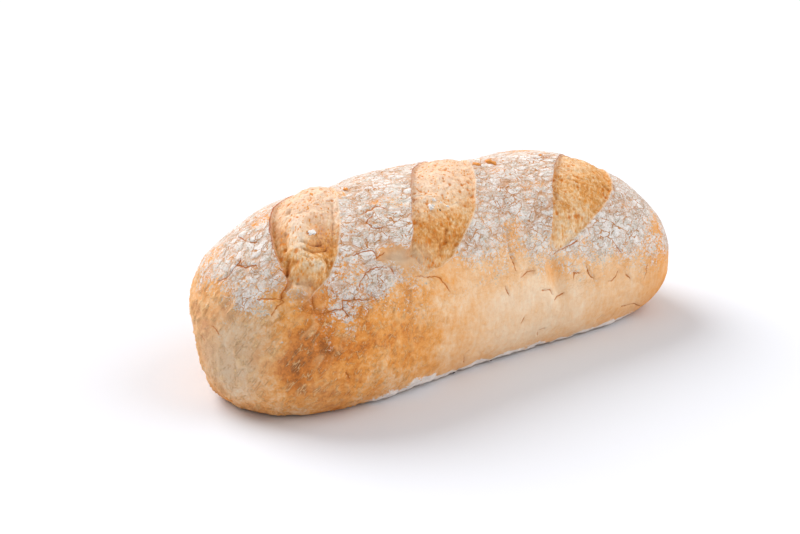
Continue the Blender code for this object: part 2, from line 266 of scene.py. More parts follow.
# Soft folds and hollows: a line of points, reach and height
folds = [
    ([(-0.1218, -0.0345, 0.0750), (-0.1222, -0.0370, 0.0725), (-0.1245, -0.0392, 0.0700),
      (-0.1285, -0.0392, 0.0664)], 0.0012, -0.0020),
    ([(-0.1280, -0.0440, 0.0630), (-0.1190, -0.0475, 0.0650)], 0.0016, 0.0010),
    ([(-0.129, -0.041, 0.063), (-0.133, -0.042, 0.057), (-0.138, -0.040, 0.050)], 0.0020, -0.0008),
    ([(-0.126, -0.046, 0.060), (-0.131, -0.045, 0.052), (-0.136, -0.043, 0.046)], 0.0022, 0.0008),
    ([(0.034, -0.062, 0.054), (0.036, -0.064, 0.044), (0.037, -0.065, 0.033)], 0.0042, -0.0016),
    ([(0.022, -0.034, 0.086), (0.019, -0.046, 0.077), (0.010, -0.051, 0.071),
      (0.007, -0.056, 0.065), (0.008, -0.060, 0.057), (0.010, -0.061, 0.054)], 0.0009, -0.0008),
    ([(0.015, -0.040, 0.083), (0.013, -0.047, 0.077), (0.005, -0.054, 0.069)], 0.0008, -0.0006),
    ([(0.012, -0.062, 0.049), (0.016, -0.062, 0.050), (0.020, -0.063, 0.050)], 0.0015, -0.0014),
    ([(0.046, -0.065, 0.043), (0.048, -0.065, 0.044)], 0.0009, -0.0008),
    ([(0.057, -0.066, 0.042), (0.061, -0.067, 0.038)], 0.0009, -0.0009),
    ([(0.070, -0.062, 0.009), (0.074, -0.063, 0.011)], 0.0010, -0.0008),
    ([(0.086, -0.057, 0.063), (0.093, -0.056, 0.064), (0.097, -0.053, 0.066)], 0.0009, -0.0008),
    ([(-0.127, -0.039, 0.068), (-0.122, -0.041, 0.069), (-0.118, -0.046, 0.067)], 0.0016, 0.0010),
    ([(-0.084, -0.049, 0.076), (-0.072, -0.049, 0.076), (-0.061, -0.051, 0.074),
      (-0.053, -0.050, 0.075)], 0.0012, -0.0016),
    ([(-0.078, -0.046, 0.079), (-0.066, -0.046, 0.079), (-0.056, -0.047, 0.078)], 0.0022, 0.0008),
]

# Small forms of the whole crust, in metres
crustForms = {
    "rise": (0.034, 0.0009),        # hills across and high: slow unevenness of a shaped loaf
    "lumps": (0.011, 0.00042),
    "grain": (0.0034, 0.00020),
    "plateSize": 0.0078, "plateDepth": 0.00042, "plateShape": (0.75, 1.25, 1.25),
    "platesFrom": (0.056, 0.076),       # heights between which the floured plates fade in
    "flakeSize": 0.0038, "flakeHeight": 0.00095, "flakeLong": 4.0,
    "flakesTo": (0.058, 0.076),         # and the thin flakes below them fade out
    "flakesAlong": (0.015, 0.085),      # how far towards the near end those fade in
    "tearSize": 0.0032, "tearHeight": 0.00065, "tearLong": 1.8,
    "poreSize": 0.0030, "poreDepth": 0.0005,
    "skirtHeight": 0.0084, "skirtOut": 0.0009,      # floury edge pressed out at the foot
    "skirtFrom": (-0.090, -0.076), "skirtTo": (0.085, 0.118), "skirtLower": (-0.052, -0.036),
    "baseRelief": 0.00025,
}
# Ways in which the skin stretched, the crumb tore and the flour was rubbed in
stretchedDown = (-0.45, 0.45, -0.77)
tornDown = (-0.55, -0.50, -0.67)
flourDrawn = (0.93, 0.05, 0.36)

# What lies or baked where: middle, reach and share added
flourPatches = [
    ((-0.140, -0.025, 0.063), 0.005, 0.55), ((-0.134, -0.034, 0.056), 0.005, 0.25),
    ((-0.079, -0.053, 0.069), 0.007, 0.70), ((-0.071, -0.048, 0.076), 0.0045, -0.90),
    ((-0.098, -0.052, 0.064), 0.008, 0.45), ((-0.114, -0.057, 0.043), 0.005, 0.30),
    ((-0.117, -0.056, 0.035), 0.004, 0.25), ((-0.058, -0.061, 0.048), 0.010, 0.26),
    ((-0.148, 0.005, 0.060), 0.014, -0.25), ((-0.112, -0.003, 0.088), 0.008, -0.45),
    ((0.012, -0.050, 0.070), 0.009, -0.40), ((-0.040, -0.058, 0.060), 0.008, -0.35),
    ((-0.066, -0.004, 0.097), 0.009, -0.45), ((0.100, -0.050, 0.066), 0.006, -0.30),
    ((0.030, -0.052, 0.070), 0.008, 0.15), ((-0.0156, -0.0523, 0.0708), 0.009, 0.35),
    ((-0.060, -0.051, 0.074), 0.0055, -1.10), ((-0.048, -0.060, 0.058), 0.010, -0.35),
    ((-0.130, -0.038, 0.064), 0.006, -0.20), ((-0.116, -0.049, 0.063), 0.007, -0.45),
    ((-0.127, -0.041, 0.063), 0.005, -0.35),
]
brownAndShadePatches = [
    ((-0.030, -0.045, 0.078), 0.015, 0.24), ((0.036, -0.064, 0.046), 0.008, 0.22),
    ((-0.112, -0.020, 0.086), 0.006, 0.10), ((0.088, -0.024, 0.086), 0.012, -0.08),
    ((-0.150, 0.000, 0.052), 0.016, 0.14), ((0.066, -0.054, 0.066), 0.010, -0.10),
    ((-0.115, -0.056, 0.040), 0.028, 0.08), ((-0.095, -0.058, 0.015), 0.032, 0.12),
    ((-0.119, -0.055, 0.044), 0.009, 0.26), ((-0.131, -0.048, 0.032), 0.008, 0.24),
    # the second patch on the next line is painted shade: it darkens the spot just below the low end of
    # the first slash
    ((-0.109, -0.057, 0.019), 0.007, 0.10), ((-0.114, -0.053, 0.061), 0.009, 0.14),
    ((-0.055, -0.062, 0.040), 0.018, 0.10), ((0.150, -0.010, 0.030), 0.030, -0.26),
    ((-0.015, -0.064, 0.030), 0.034, -0.28), ((0.030, -0.064, 0.028), 0.036, -0.28),
    ((0.090, -0.066, 0.026), 0.034, -0.14), ((-0.146, -0.024, 0.026), 0.020, -0.20),
    ((-0.107, -0.026, 0.088), 0.008, -0.14), ((-0.116, -0.024, 0.083), 0.006, -0.08),
    ((-0.109, -0.012, 0.088), 0.007, 0.12), ((-0.060, -0.050, 0.074), 0.009, 0.16),
    ((0.044, -0.058, 0.062), 0.010, -0.10),
]
dustPatches = [
    ((-0.107, -0.042, 0.078), 0.004, 0.40), ((-0.120, -0.042, 0.070), 0.007, 0.45),
    ((-0.062, -0.050, 0.074), 0.006, 0.70), ((-0.118, -0.044, 0.069), 0.006, 0.35),
    ((-0.149, -0.018, 0.028), 0.021, 1.00), ((-0.150, 0.010, 0.050), 0.020, 0.30),
    ((-0.052, -0.053, 0.072), 0.009, 0.75), ((-0.070, -0.050, 0.074), 0.007, 0.85),
    ((-0.142, -0.020, 0.060), 0.014, 0.35), ((-0.142, -0.031, 0.046), 0.014, 0.40),
    ((0.026, -0.064, 0.030), 0.014, 0.15),
]


def smoothStep(value, start, stop):
    share = np.clip((value - start) / (stop - start), 0.0, 1.0)
    return share * share * (3.0 - 2.0 * share)


def hills(points, size, turn=0.0):
    # smooth noise from about -1 to 1 whose hills are size across
    return np.array([noise.noise(place) for place in (points / size + turn).tolist()])


def cubeOfCells(cells):
    # a cube from -1 to 1 whose sides are cut into an even grid
    bm = bmesh.new()
    bmesh.ops.create_cube(bm, size=2.0)
    for axis, count in enumerate(cells):
        uncut = [e for e in bm.edges if abs(e.verts[0].co[axis] - e.verts[1].co[axis]) > 1.9]
        bmesh.ops.subdivide_edges(bm, edges=uncut, cuts=count - 1, use_grid_fill=True)
    return bm


def roundSection(across, up):
    # turns the cube's square section round: share of the radius, sine and cosine of the angle
    radius = np.maximum(np.abs(across), np.abs(up))
    share = np.minimum(np.abs(across), np.abs(up)) / np.maximum(radius, 1e-9)
    angle = np.where(np.abs(across) >= np.abs(up), share, 2.0 - share) * np.pi / 4
    return radius, np.sin(angle) * np.sign(up), np.cos(angle) * np.sign(across)


def endSamples(plan, side):
    # outline from the middle to one end: share of its run, then of length, width and height
    turn = np.linspace(0.0, np.pi / 2, 4001)
    along = np.sin(turn) ** (4.0 / (plan + side))
    wide = np.sqrt(np.maximum(0.0, 1.0 - along ** plan))
    high = np.sqrt(np.maximum(0.0, 1.0 - along ** side))
    steps = np.hypot(np.diff(along) * loaf["length"] / 2, np.diff(wide) * loaf["width"] / 2)
    run = np.concatenate(([0.0], np.cumsum(steps)))
    return run / run[-1], along, wide, high


def bodyPoints(cube):
    # moves the points of the cube onto the risen loaf
    radius, sine, cosine = roundSection(cube[:, 1], cube[:, 2])
    endShare = loaf["cells"][1] / (loaf["cells"][0] + loaf["cells"][1])
    onEnd = np.abs(cube[:, 0]) > 1.0 - 1e-6
    run = np.where(onEnd, 1.0 - endShare * radius, (1.0 - endShare) * np.abs(cube[:, 0]))
    along, wide, high = np.zeros((3, len(cube)))
    for here, end in ((cube[:, 0] < 0, "nearEnd"), (cube[:, 0] >= 0, "farEnd")):
        sampledRun, *samples = endSamples(*loaf[end])
        for values, sample in zip((along, wide, high), samples):
            values[here] = np.interp(run[here], sampledRun, sample)
    along *= np.sign(cube[:, 0])
    height = loaf["height"] * (1.0 - loaf["farLower"] * along)
    widest = loaf["widestAt"] * height
    reach = np.abs(sine)
    power = np.where(sine >= 0, loaf["crownPower"], loaf["undersidePower"])
    aside = np.sqrt(np.maximum(0.0, 1.0 - reach ** power)) * np.sign(cosine)
    halfWidth = loaf["width"] / 2 * (1.0 + loaf["farWider"] * along)
    above = widest + (height - widest) * high ** (2 / loaf["crownPower"]) * reach
    below = widest - loaf["undercut"] * widest * wide ** (2 / loaf["undersidePower"]) * reach
    return np.column_stack((loaf["length"] / 2 * along,
                            halfWidth * wide * aside - loaf["bow"] * along ** 2,
                            np.where(sine >= 0, above, below)))


lineDepth = 0.006       # how far off the surface a line may lie and still count as on it


def gapToLines(points, normals, lines):
    # distance to the nearest of several lines, counted along the surface rather than into it,
    # and the same with a sign that is positive at the left of each line
    nearest, side = np.full((2, len(points)), np.inf)
    for line in lines:
        for start, stop in zip(np.array(line[:-1] or line), np.array(line[1:] or line)):
            way = stop - start
            apart = points - start
            across = np.einsum("ij,ij->i", apart, np.cross(normals, way))
            share = np.clip(apart @ way / max(way @ way, 1e-12), 0.0, 1.0)
            apart -= share[:, None] * way
            into = np.clip(np.einsum("ij,ij->i", apart, normals), -lineDepth, lineDepth)
            away = np.sqrt(np.maximum(np.einsum("ij,ij->i", apart, apart) - 0.94 * into ** 2, 0.0))
            side = np.where(away < nearest, across, side)
            nearest = np.minimum(nearest, away)
    return nearest, nearest * np.sign(side)


def slashRelief(slash, points, normals, wander):
    # height of one slash above the body, the distances inside its edges, how far it is open
    # and how dark its left lip is
    start = (np.array(slash["left"][0]) + slash["right"][0]) / 2
    way = np.array(slash["left"][-1]) - start
    share = np.clip((points - start) @ way / (way @ way), 0.0, 1.0)
    left = wander[0] - gapToLines(points, normals, [slash["left"]])[1]
    right = wander[1] + gapToLines(points, normals, [slash["right"]])[1]
    opened = (smoothStep(share, 0.0, slashEdges["fadeIn"])
              * smoothStep(1.0 - share, 0.0, slashEdges["fadeOut"]))
    across = np.clip(left / np.maximum(left + right, 1e-6), 0.0, 1.0)
    depth = np.interp(share, *zip(*slash["floor"]))
    crumb = slash["swell"] * np.sin(np.pi * across) - depth * (1.0 - across) ** 1.5
    crumb -= slashEdges["rightDrop"] * across
    inside = (smoothStep(left, 0.0, slashEdges["leftStep"])
              * smoothStep(right, 0.0, slashEdges["rightStep"]))
    curl = slash["curl"] * np.exp(-(left / slashEdges["curlReach"]) ** 2) * (left < 0.001)
    lip = slashEdges["lipHeight"] * np.exp(-((left + 0.0006) / slashEdges["lipReach"]) ** 2)
    rim = slashEdges["rimHeight"] * np.exp(-(right / slashEdges["rimReach"]) ** 2)
    flatter = 1.0 - slashEdges["flatBack"] * smoothStep(share, 0.35, 0.70)
    curl *= flatter
    lip *= flatter * smoothStep(right, -0.002, 0.002)
    rim *= smoothStep(left, -0.002, 0.002)
    relief = opened * (inside * crumb + (1.0 - inside) * curl + lip + rim)
    return relief, left, right, opened, np.interp(share, *zip(*slash["lip"]))


def warped(points, size, shift, turn):
    # the points moved about by smooth noise, which bends a pattern that follows them
    return points + shift * np.column_stack([hills(points, size, turn + i * 7.3) for i in range(3)])


def stretched(points, direction, long):
    # a pattern on these points is long times longer along the direction
    along = points @ np.array(direction)
    return points - np.outer(along, direction) * (1.0 - 1.0 / long)


def sumOfPatches(points, patches):
    total = np.zeros(len(points))
    for middle, reach, share in patches:
        away = np.linalg.norm(points - np.array(middle), axis=1)
        total += share * np.exp(-(away / reach) ** 2)
    return total


def crustRelief(body, normals):
    # the relief of the crust, and the marks that its finish follows
    points = body + np.array(loaf["standsAt"])
    x, y, z = points.T
    forms = crustForms
    relief = sumOfPatches(body, swellings)
    upper = smoothStep(z, slashEdges["from"], slashEdges["full"])
    wander = [slashEdges["ragged"] * (hills(points, slashEdges["raggedSize"], turn)
                                      + 0.5 * hills(points, slashEdges["raggedSize"] / 3, turn))
              for turn in (11.3, 27.9)]
    lipGap, rimGap, torn = np.full((3, len(x)), -0.02)
    crumb, lip, form = np.zeros((3, len(x)))
    for slash in slashes:
        lift, left, right, opened, dark = slashRelief(slash, points, normals, wander)
        relief += lift * upper
        nearer = (np.minimum(left, right) > torn) & (opened > 0.0)
        torn = np.where(nearer, np.minimum(left, right), torn)
        lipGap = np.where(nearer, left, lipGap)
        rimGap = np.where(nearer, right, rimGap)
        lip = np.where(nearer, dark, lip)
        inside = smoothStep(left, -0.0002, 0.0006) * smoothStep(right, -0.0002, 0.0006)
        crumb = np.maximum(crumb, inside * upper * opened)

    for line, reach, height in crumbForms:
        form += height * np.exp(-(gapToLines(points, normals, [line])[0] / reach) ** 2)
    relief += form
    for line, reach, height in folds:
        relief += height * np.exp(-(gapToLines(points, normals, [line])[0] / reach) ** 2)
    wobble = warped(warped(points, 0.0045, 0.0008, 3.1), 0.0016, 0.0005, 5.9)
    crackGap, crackSide = gapToLines(wobble, normals, cracks)
    shallow = 0.6 + 0.8 * hills(points, 0.005, 19.0)
    relief -= crackForm["depth"] * shallow * np.exp(-(crackGap / crackForm["reach"]) ** 2)
    lifted = (crackSide - crackForm["liftAt"]) / crackForm["liftReach"]
    relief += crackForm["lift"] * shallow * np.exp(-lifted ** 2)

    # the unevenness of the whole crust
    for name, turn in (("rise", 1.7), ("lumps", 4.4), ("grain", 8.8)):
        size, height = forms[name]
        relief += height * hills(points, size, turn)

    # floured plates of crust on the top, wider than they are high
    plates = smoothStep(z, *forms["platesFrom"]) * (1.0 - crumb)
    cells = warped(points, 0.006, 0.0020, 13.0) * forms["plateShape"] / forms["plateSize"]
    gap = np.array([away[1] - away[0] for away, _ in map(noise.voronoi, cells.tolist())])
    plateEdge = plates * np.exp(-(gap / 0.09) ** 2) * smoothStep(hills(points, 0.016, 23.0), -0.35, 0.1)
    relief -= forms["plateDepth"] * plateEdge

    # thin flaky ridges over the near end, below the flour, which the shader also paints pale as
    # highlights
    flaky = smoothStep(-x, *forms["flakesAlong"]) * (1.0 - smoothStep(z, *forms["flakesTo"]))
    flaky *= 1.0 - crumb
    bent = stretched(warped(points, 0.009, 0.0030, 37.0), stretchedDown, forms["flakeLong"])
    ridge = (1.0 - np.clip(np.abs(hills(bent, forms["flakeSize"], 31.0)) * 3.6, 0.0, 1.0)) ** 2
    ridge *= smoothStep(hills(points, 0.009, 33.0), -0.25, 0.25)
    relief += forms["flakeHeight"] * flaky * ridge

    # the torn crumb, drawn out along the slashes, and its pores
    fibres = stretched(points, tornDown, forms["tearLong"])
    relief += forms["tearHeight"] * crumb * hills(fibres, forms["tearSize"], 43.0)
    pores = np.array([away[0] for away, _ in map(noise.voronoi, (fibres / forms["poreSize"]).tolist())])
    some = smoothStep(hills(points, 0.007, 41.0), -0.15, 0.15)
    pore = smoothStep(-pores, -0.38, -0.22) * some * crumb
    relief -= forms["poreDepth"] * pore

    # the floury ragged edge pressed out round the foot of the front
    thick = 1.0 - 0.44 * smoothStep(x, *forms["skirtLower"])
    tall = forms["skirtHeight"] * np.maximum(thick + 0.70 * hills(points, 0.009, 53.0), 0.05)
    skirt = (smoothStep(-z, -tall, -0.4 * tall) * smoothStep(-y, 0.02, 0.045)
             * smoothStep(x, *forms["skirtFrom"]) * (1.0 - smoothStep(x, *forms["skirtTo"])))
    relief += forms["skirtOut"] * skirt * (0.4 + 1.2 * hills(points, 0.005, 51.0))
    relief += 0.6 * forms["skirtOut"] * skirt * hills(points, 0.0022, 57.0)

    marks = {"lipGap": lipGap * 1000, "rimGap": rimGap * 1000, "crumb": crumb, "lip": lip,
             "crackSide": np.clip(crackSide, -0.01, 0.01) * 1000, "flake": flaky * ridge,
             "form": form * 1000,
             "crackNear": smoothStep(-crackGap, -0.0018, -0.0008),
             "flaky": flaky, "plateEdge": plateEdge, "pore": pore, "skirt": skirt}
    return relief, marks


def crustTones(body):
    # how much flour lies on each part, how brown it baked, with one spot of painted shade, and how dusty
    # it is, from 0 to 1
    points = body + np.array(loaf["standsAt"])
    x, y, z = points.T
    foot = np.interp(x, *zip(*loaf["flourFoot"]))
    ragged = 0.008 * hills(points, 0.020, 61.0) + 0.006 * hills(points, 0.007, 67.0)
    faint, full = loaf["flourFade"]
    flour = smoothStep(z + ragged, foot + faint, foot + full)
    flour *= 0.94 + 0.50 * hills(points, 0.016, 71.0) + 0.26 * hills(points, 0.006, 73.0)
    flour += sumOfPatches(points, flourPatches) * smoothStep(z, 0.02, 0.04)
    brownedAndShaded = 0.45 + 0.16 * hills(points, 0.045, 81.0) + 0.08 * hills(points, 0.014, 83.0)
    brownedAndShaded += sumOfPatches(points, brownAndShadePatches)
    dust = sumOfPatches(points, dustPatches) + 0.15 * hills(points, 0.025, 87.0)
    tones = {"flour": flour, "brownedAndShaded": brownedAndShaded, "dust": dust}
    return {name: np.clip(values, 0.0, 1.2) for name, values in tones.items()}


def movedTo(mesh, points):
    mesh.vertices.foreach_set("co", points.astype(np.float32).ravel())
    mesh.update()


def readPoints(mesh, of="vertices"):
    flat = np.empty(len(mesh.vertices) * 3, np.float32)
    if of == "normals":
        mesh.vertex_normals.foreach_get("vector", flat)
    else:
        mesh.vertices.foreach_get("co", flat)
    return flat.reshape(-1, 3).astype(float)


def buildLoaf():
    bm = cubeOfCells(loaf["cells"])
    mesh = bpy.data.meshes.new("flouredLoaf")
    bm.to_mesh(mesh)
    print("grid of", len(mesh.vertices), "points")
    body = bodyPoints(readPoints(mesh))
    movedTo(mesh, body)
    normals = readPoints(mesh, "normals")
    relief, marks = crustRelief(body, normals)
    marks.update(crustTones(body))
    points = body + normals * relief[:, None]
    softBase = loaf["baseRound"]
    points[:, 2] = (points[:, 2] + np.sqrt(points[:, 2] ** 2 + softBase ** 2)) / 2
    under = 1.0 - smoothStep(points[:, 2], 0.0, 0.003)
    points[:, 2] += under * crustForms["baseRelief"] * (1.0 + hills(body, 0.012, 91.0))
    points[:, 2] -= points[:, 2].min()
    middle = (points.min(axis=0) + points.max(axis=0)) / 2
    print("crust raised, the loaf moves by", -middle[:2])
    points[:, :2] -= middle[:2]
    movedTo(mesh, points)
    for name, values in marks.items():
        mesh.attributes.new(name, "FLOAT", "POINT").data.foreach_set("value", values.astype(np.float32))
    piece = newObject("flouredLoaf", mesh)
    thin = piece.modifiers.new("Thin", "DECIMATE")
    thin.ratio = loaf["mostTriangles"] / (2 * len(mesh.polygons))
    evaluated = piece.evaluated_get(bpy.context.evaluated_depsgraph_get())
    piece.data = bpy.data.meshes.new_from_object(evaluated)
    piece.modifiers.clear()
    piece.data.name = "flouredLoaf"
    piece.data.shade_smooth()
    print("loaf of", len(piece.data.polygons), "faces, marks", len(piece.data.attributes))
    bm.free()
    return piece


# Baked wheat crust: matt starch that browned from cream to orange-brown, rubbed with white
# flour before it rose. The flour lies like chalk and cracks where the skin stretched, and
# the torn crumb in the slashes is paler and full of pores.
crust = {
    "crustTones": [(0.0, "#f6e0c4"), (0.26, "#f0c496"), (0.50, "#eaa050"), (0.75, "#d27d31"),
                   (1.0, "#9c5a26")],
    "crumbTones": [(0.0, "#f9e4ca"), (0.30, "#f0c898"), (0.55, "#e0a05a"), (0.80, "#c97d38"),
                   (1.0, "#9a5524")],
    # flour from its dark to its white tone, whose dark end also paints shade into the hollows of the
    # flour's bump
    "flourTonesAndShade": [(0.0, "#aba089"), (0.25, "#cbc6bd"), (0.55, "#e6e3e0"), (1.0, "#fbfafa")],
    # pale painted highlight for the flaky ridges of the lower skin, painted shade for the shaded side of
    # its folds
    "dustColour": "#cbb69c", "ridgeHighlightColour": "#f3cc96", "foldShadeColour": "#a55f28",
    "crestColour": "#f0d0be", "poreColour": "#df8d36", "holeColour": "#d98029",
    # the gully colour browns the crumb beside each left lip and paints the shade of that gully
    "gullyBrownAndShadeColour": "#cc7a38", "lineColour": "#c06c24", "crackleColour": "#b97630",
    "lipColour": "#b9622f", "rimColour": "#f3d9bd", "skirtColour": "#f3ede8",
    "plateSize": 5.2, "foldSize": 3.0, "fineFoldSize": 1.7, "wrinkleSize": 2.6,
    "fibreSize": 1.1, "poreSize": 1.4, "streakSize": 2.2,      # all in millimetres
    "roughness": 0.62, "ior": 1.45, "specular": 0.25,
}


def crustMaterial():
    material = bpy.data.materials.new("flouredWheatCrust")
    material.use_nodes = True
    tree = material.node_tree
    tree.nodes.clear()
    node = partial(addNode, tree)
    place = node("TexCoord", output="Object")
    names = ("lipGap", "rimGap", "crumb", "lip", "form", "crackSide", "crackNear", "flake", "flaky",
             "plateEdge", "pore", "skirt", "flour", "brownedAndShaded", "dust")
    mark = {name: node("Attribute", output="Fac", attribute_name=name) for name in names}
    height = node("SeparateXYZ", {0: place}, output="Z")
    soft = {"interpolation_type": "SMOOTHSTEP"}
    product = partial(node, "Math", operation="MULTIPLY")
    blend = partial(node, "Math", operation="MULTIPLY_ADD")

    # noise by the size of its hills in millimetres, each brought to the range 0 to 1
    hill = {}
    for size, detail in ((14, 4), (4.5, 4), (2.2, 3), (0.9, 2)):
        raw = node("TexNoise", {"Vector": place, "Scale": 1000 / size, "Detail": detail})
        hill[size] = node("MapRange", {0: raw, 1: 0.30, 2: 0.70})

    # patterns that follow the stretch of the floured skin, the lower skin and the torn crumb
    drawn = {}
    for name, direction, long in (("flour", flourDrawn, 2.0), ("skin", stretchedDown, 5.0),
                                  ("crumb", tornDown, 2.0), ("side", (0.0, 0.0, 1.0), 4.0),
                                  ("pore", tornDown, 2.8)):
        turned = Vector(direction).to_track_quat("X", "Z").to_euler()
        drawn[name] = node("Mapping", {"Vector": place, "Rotation": turned, "Scale": (long, 1, 1)},
                           vector_type="TEXTURE")

    # thin folds where a noise crosses its middle, and the band on the side that each one shades, which
    # the lower skin's colour darkens as painted shade
    fold = {}
    for name, way, size, width in (("flour", "flour", crust["foldSize"], 0.022),
                                   ("fine", "flour", crust["fineFoldSize"], 0.034),
                                   ("skin", "skin", crust["wrinkleSize"], 0.034)):
        raw = node("TexNoise", {"Vector": drawn[way], "Scale": 1000 / size, "Detail": 2.5,
                                "Distortion": 0.4})
        raw = node("Math", {0: raw, 1: 0.5}, operation="SUBTRACT")
        line = node("Math", {0: raw}, operation="ABSOLUTE")
        fold[name] = node("MapRange", {0: line, 1: width, 2: width * 0.2}, **soft)
        if name != "fine":
            under = node("Math", {0: raw, 1: 1.6 * width}, operation="ADD")
            under = node("Math", {0: under}, operation="ABSOLUTE")
            fold[name + "Under"] = node("MapRange", {0: under, 1: width, 2: 0.0}, **soft)
    creased = node("MapRange", {0: hill[4.5], 1: 0.35, 2: 0.70}, **soft)
    creased = product({0: creased, 1: mark["flaky"]})
    # the lower skin's fold ridges, painted pale as highlights, and their shaded side, painted dark as
    # shade
    ridged = product({0: fold["skin"], 1: creased})
    shaded = product({0: fold["skinUnder"], 1: creased})

    # crackle of the flour: broken lines of a net and of the folds
    bend = node("TexNoise", {"Vector": place, "Scale": 1000 / 5.0, "Detail": 3.0}, output="Color")
    bend = node("VectorMath", {0: bend, 1: (0.5, 0.5, 0.5)}, operation="SUBTRACT")
    bent = node("VectorMath", {0: bend, 1: (0.006, 0.006, 0.006), 2: place}, operation="MULTIPLY_ADD")
    bent = node("VectorMath", {0: bent, 1: (0.55, 1.0, 1.3)}, operation="MULTIPLY")
    net = node("TexVoronoi", {"Vector": bent, "Scale": 1000 / crust["plateSize"]},
               feature="DISTANCE_TO_EDGE")
    net = node("MapRange", {0: net, 1: 0.056, 2: 0.018}, **soft)
    crackle = product({0: mark["plateEdge"], 1: 0.6})
    for line, by, low, high, most in ((net, 4.5, 0.25, 0.60, 0.9), (fold["flour"], 4.5, 0.70, 0.35, 1.0),
                                      (fold["fine"], 14, 0.25, 0.65, 0.6)):
        where = node("MapRange", {0: hill[by], 1: low, 2: high, 4: most}, **soft)
        line = product({0: line, 1: where})
        crackle = node("Math", {0: crackle, 1: line}, operation="MAXIMUM")

    # how much flour covers each spot: its share, against speckles of two sizes
    speckle = product({0: hill[2.2], 1: 0.40})
    speckle = blend({0: hill[0.9], 1: 0.60, 2: speckle})
    cover = node("Math", {0: mark["flour"], 1: speckle}, operation="SUBTRACT")
    cover = node("MapRange", {0: cover, 1: -0.08, 2: 0.20}, **soft)
    floured = node("MapRange", {0: mark["flour"], 1: 0.02, 2: 0.14}, **soft)
    cover = product({0: cover, 1: floured})
    lost = blend({0: crackle, 1: -0.6, 2: 1.0})
    cover = product({0: cover, 1: lost})
    # the flour's tone: uneven at random, and darker where the same noises lower the bump, which paints
    # shade into its small hollows
    flourToneAndShade = product({0: hill[4.5], 1: 0.5})
    flourToneAndShade = blend({0: hill[0.9], 1: 0.5, 2: flourToneAndShade})
    flourColourAndShade = node("ValToRGB", {0: flourToneAndShade}, stops=crust["flourTonesAndShade"])

    # browning of crust and crumb, and the one spot of painted shade below the first slash
    brownAndShade = mark["brownedAndShaded"]
    for size, share in ((14, 0.20), (4.5, 0.13), (2.2, 0.12), (0.9, 0.11)):
        uneven = node("Math", {0: hill[size], 1: 0.5}, operation="SUBTRACT")
        calm = node("MapRange", {0: mark["flaky"], 3: share * 0.60, 4: share * 1.7})
        brownAndShade = blend({0: uneven, 1: calm, 2: brownAndShade})
    streak = node("TexNoise", {"Vector": drawn["side"], "Scale": 1000 / crust["streakSize"],
                               "Detail": 3.0})
    streak = node("MapRange", {0: streak, 1: 0.30, 2: 0.70, 3: -0.5, 4: 0.5})
    brownAndShade = blend({0: streak, 1: 0.08, 2: brownAndShade})
    colour = node("ValToRGB", {0: brownAndShade}, stops=crust["crustTones"])
    fibre = node("TexNoise", {"Vector": drawn["crumb"], "Scale": 1000 / crust["fibreSize"],
                              "Detail": 3.0})
    fibre = node("MapRange", {0: fibre, 1: 0.30, 2: 0.70})
    torn = node("Math", {0: mark["brownedAndShaded"], 1: 0.38}, operation="SUBTRACT")
    crest = node("MapRange", {0: height, 1: 0.080, 2: 0.097}, **soft)
    # the crumb forms' height paints raised crumb paler as light and its hollows darker as shade
    for part, share in ((crest, -0.20), (fibre, 0.34), (hill[4.5], 0.26), (hill[2.2], 0.22),
                        (mark["form"], -0.13)):
        torn = blend({0: part, 1: share, 2: torn})
    crumbColour = node("ValToRGB", {0: torn}, stops=crust["crumbTones"])
    pores = node("TexVoronoi", {"Vector": drawn["pore"], "Scale": 1000 / crust["poreSize"]})
    pores = node("MapRange", {0: pores, 1: 0.42, 2: 0.20}, **soft)
    someHere = node("MapRange", {0: hill[4.5], 1: 0.30, 2: 0.60}, **soft)
    pores = product({0: pores, 1: someHere})

    # lines along the slashes and the cracks
    some = node("MapRange", {0: hill[2.2], 3: 0.25, 4: 0.75})
    crestTint = product({0: crest, 1: some})
    # crumb darker within about 3 mm of the left lip: its browning, and painted shade of the gully there
    gullyBrownAndShade = node("MapRange", {0: mark["lipGap"], 1: 3.2, 2: 0.3, 4: 0.45}, **soft)
    gullyBrownAndShade = product({0: gullyBrownAndShade, 1: hill[2.2]})
    crack = node("Math", {0: mark["crackSide"]}, operation="ABSOLUTE")
    crack = node("MapRange", {0: crack, 1: 0.52, 2: 0.14}, **soft)
    crack = product({0: crack, 1: mark["crackNear"]})
    fading = node("MapRange", {0: hill[4.5], 1: 0.15, 2: 0.55, 3: 0.45, 4: 1.0})
    crack = product({0: crack, 1: fading})
    edges = {}
    for name, other, width in (("lipGap", "rimGap", 0.36), ("rimGap", "lipGap", 0.5)):
        line = node("Math", {0: mark[name]}, operation="ABSOLUTE")
        line = node("MapRange", {0: line, 1: width, 2: 0.12}, **soft)
        beside = node("MapRange", {0: mark[other], 1: 0.0, 2: 1.5}, **soft)
        edges[name] = product({0: line, 1: beside})
    upper = node("MapRange", {0: height, 1: 0.060, 2: 0.072}, **soft)
    lipLine = product({0: edges["lipGap"], 1: mark["lip"]})
    rimLine = product({0: edges["rimGap"], 1: upper})
    skirt = blend({0: speckle, 1: -1.0, 2: mark["skirt"]})
    skirt = node("MapRange", {0: skirt, 1: -0.32, 2: 0.0}, **soft)
    pressed = node("MapRange", {0: mark["skirt"], 1: 0.05, 2: 0.35}, **soft)
    skirt = product({0: skirt, 1: pressed})
    lifted = node("MapRange", {0: height, 1: 0.0004, 2: 0.0014}, **soft)
    skirt = product({0: skirt, 1: lifted})
    flourLines = product({0: crackle, 1: mark["flour"]})

    # the layers over each other: how much of each, scaled, and its colour
    def layered(under, layers):
        for share, scale, tone in layers:
            share = product({0: share, 1: scale}, use_clamp=True)
            under = node("Mix", {0: share, 6: under, 7: tone}, output=2, data_type="RGBA")
        return under

